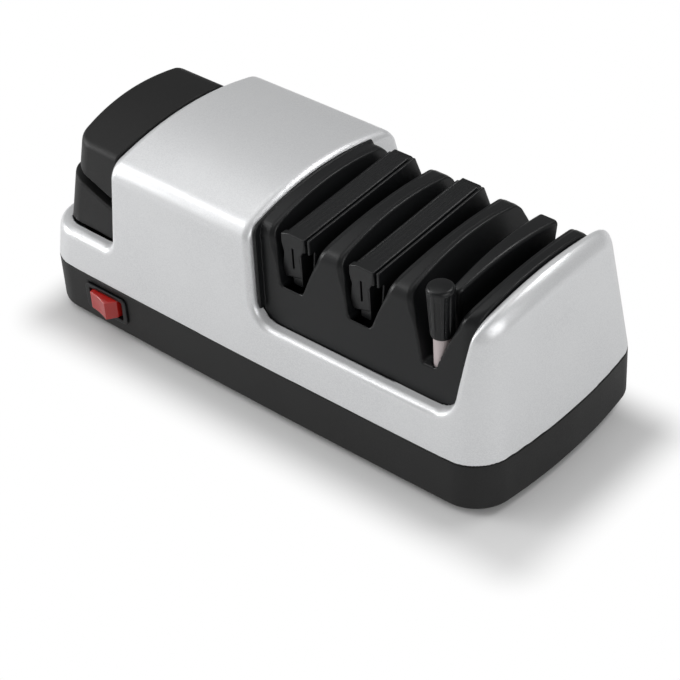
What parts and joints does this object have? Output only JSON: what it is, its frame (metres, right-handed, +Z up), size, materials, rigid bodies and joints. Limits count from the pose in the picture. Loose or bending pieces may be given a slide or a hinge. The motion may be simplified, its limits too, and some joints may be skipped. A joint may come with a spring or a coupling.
{
  "type": "electric knife sharpener",
  "caption": "Free-standing electric knife sharpener: silver saddle-cut body on a black base, V slots with sprung guides, a lift-out ceramic rod, a vented end cover and a red rocker switch.",
  "frame": {"origin": "centre of the bounding box in plan, on the table under the feet", "axes": "+X along the body towards the plain end block, -Y towards the side with the switch, +Z up"},
  "size_m": [0.2498, 0.114, 0.0953],
  "materials": {
    "silver": "satin metallic silver paint with a fine speckle",
    "black": "fine matte texture",
    "gloss_black": "semi-gloss",
    "red": "gloss",
    "ceramic": "fine ground, unglazed",
    "rubber": "matte",
    "steel": "zinc plated",
    "dark_steel": "plain rolled",
    "copper": "copper-coloured",
    "brass": "turned bearing bronze",
    "ferrite": "dark sintered",
    "abrasive": "fine grit",
    "board": "green laminate"
  },
  "bodies": {
    "body": {"upper_shell": "silver", "base_tray": "black", "end_shroud": "black", "vent_block": "black", "slot_module": "black", "foot_front_left": "rubber", "foot_front_right": "rubber", "foot_back_left": "rubber", "foot_back_right": "rubber", "case_screw_front_left": "steel", "case_screw_front_right": "steel", "case_screw_back_left": "steel", "case_screw_back_right": "steel", "guide_core_1": "gloss_black", "guide_core_2": "gloss_black", "stage_divider": "gloss_black", "switch_bezel": "black", "cord_gland": "rubber", "motor_can": "dark_steel", "motor_end_cap": "black", "motor_magnet_front": "ferrite", "motor_magnet_back": "ferrite", "motor_brush_front": "ferrite", "motor_brush_back": "ferrite", "motor_bearing_front": "steel", "motor_bearing_rear": "steel", "motor_screw_front": "steel", "motor_screw_back": "steel", "motor_bracket": "steel", "spindle_pillar_left": "black", "spindle_pillar_right": "black", "spindle_bush_left": "brass", "spindle_bush_right": "brass", "circuit_board": "board", "capacitor": "gloss_black", "rectifier": "black"},
    "spindle": {"motor_shaft": "steel", "rotor_core": "copper", "commutator": "copper", "cooling_fan": "black", "shaft_coupling": "rubber", "spindle_shaft": "steel", "abrasive_wheel_1": "abrasive", "abrasive_wheel_2": "abrasive", "abrasive_wheel_3": "abrasive", "abrasive_wheel_4": "abrasive", "wheel_spring_1": "steel", "wheel_spring_2": "steel"},
    "rocker": {"switch_rocker": "red"},
    "leaf_1_left": {"guide_leaf_1_left": "gloss_black"},
    "leaf_1_right": {"guide_leaf_1_right": "gloss_black"},
    "leaf_2_left": {"guide_leaf_2_left": "gloss_black"},
    "leaf_2_right": {"guide_leaf_2_right": "gloss_black"},
    "hone": {"hone_handle": "black", "hone_rod": "ceramic"}
  },
  "joints": [
    {"name": "spindle_turn", "type": "hinge", "parent": "body", "child": "spindle", "pos_m": [0, 0.00258, 0.041], "axis": [1, 0, 0], "continuous": true},
    {"name": "rocker_tilt", "type": "hinge", "parent": "body", "child": "rocker", "pos_m": [-0.0825, -0.04735, 0.016], "axis": [0, 0, 1], "range_deg": [0, 26]},
    {"name": "leaf_1_left_flex", "type": "hinge", "parent": "body", "child": "leaf_1_left", "pos_m": [0.0135, 0.00258, 0.0805], "axis": [0, -1, 0], "range_deg": [0, 5], "stiffness_Nm_per_rad": 0.5},
    {"name": "leaf_1_right_flex", "type": "hinge", "parent": "body", "child": "leaf_1_right", "pos_m": [0.0279, 0.00258, 0.0805], "axis": [0, 1, 0], "range_deg": [0, 5], "stiffness_Nm_per_rad": 0.5},
    {"name": "leaf_2_left_flex", "type": "hinge", "parent": "body", "child": "leaf_2_left", "pos_m": [0.0486, 0.00258, 0.0805], "axis": [0, -1, 0], "range_deg": [0, 5], "stiffness_Nm_per_rad": 0.5},
    {"name": "leaf_2_right_flex", "type": "hinge", "parent": "body", "child": "leaf_2_right", "pos_m": [0.063, 0.00258, 0.0805], "axis": [0, 1, 0], "range_deg": [0, 5], "stiffness_Nm_per_rad": 0.5},
    {"name": "hone_lift", "type": "slide", "parent": "body", "child": "hone", "axis": [0, 0, 1], "range_m": [0, 0.055]}
  ]
}
